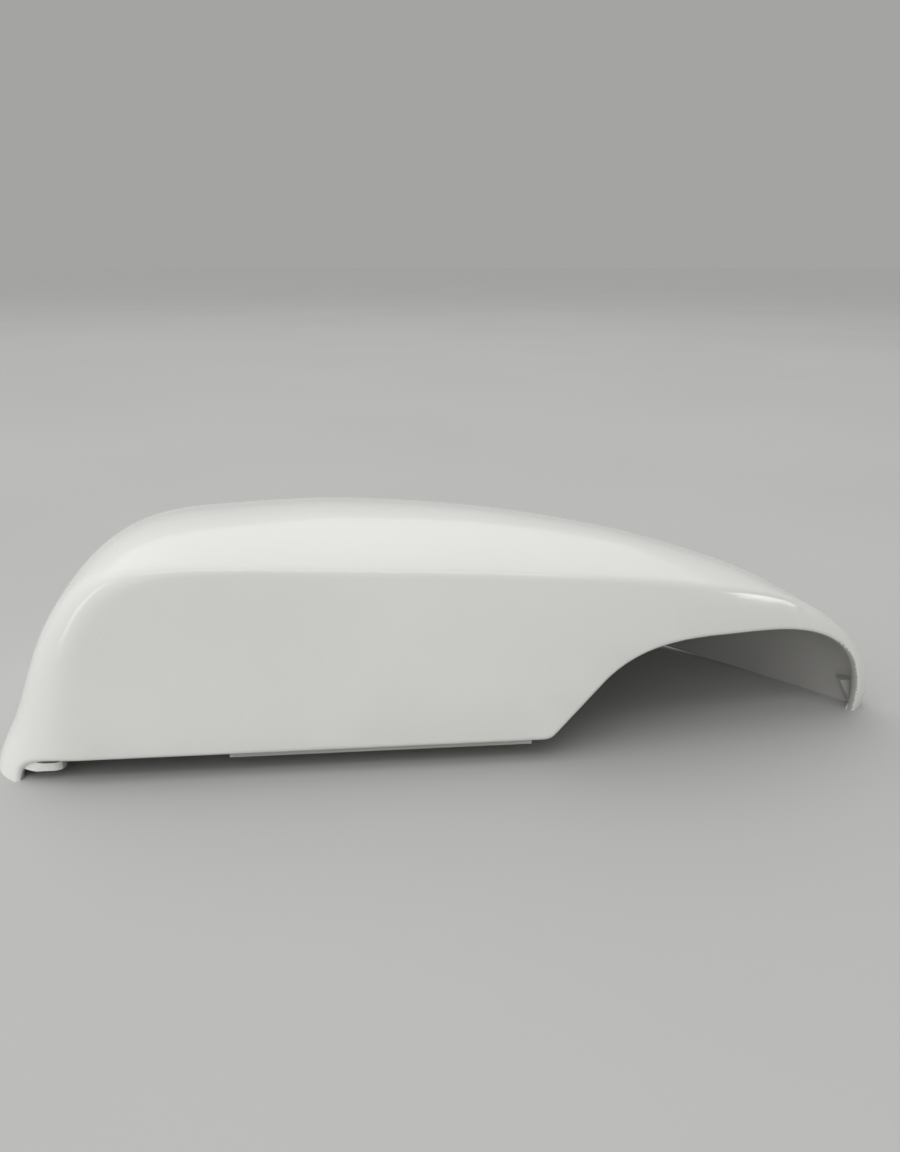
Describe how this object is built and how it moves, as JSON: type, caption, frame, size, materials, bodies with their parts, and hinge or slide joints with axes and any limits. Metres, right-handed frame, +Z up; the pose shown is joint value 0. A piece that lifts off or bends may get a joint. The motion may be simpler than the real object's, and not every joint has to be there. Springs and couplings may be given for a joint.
{
  "type": "wing mirror cover",
  "caption": "Domed, hollow wing mirror cover with a creased front wall, an arched cut-out at the narrow tip, ribs, locating pegs and clip hooks inside.",
  "frame": {"origin": "middle of the bounding box at the level of the rim, on the table that the cover lies on", "axes": "+X along the cover to its narrow tip, +Y from the creased wall to the smooth wall, +Z up out of the crown; the open side faces -Z"},
  "size_m": [0.2443, 0.1298, 0.06],
  "materials": {
    "white_plastic": "gloss white"
  },
  "bodies": {
    "root": {"mirror_cover": "white_plastic"}
  },
  "joints": []
}
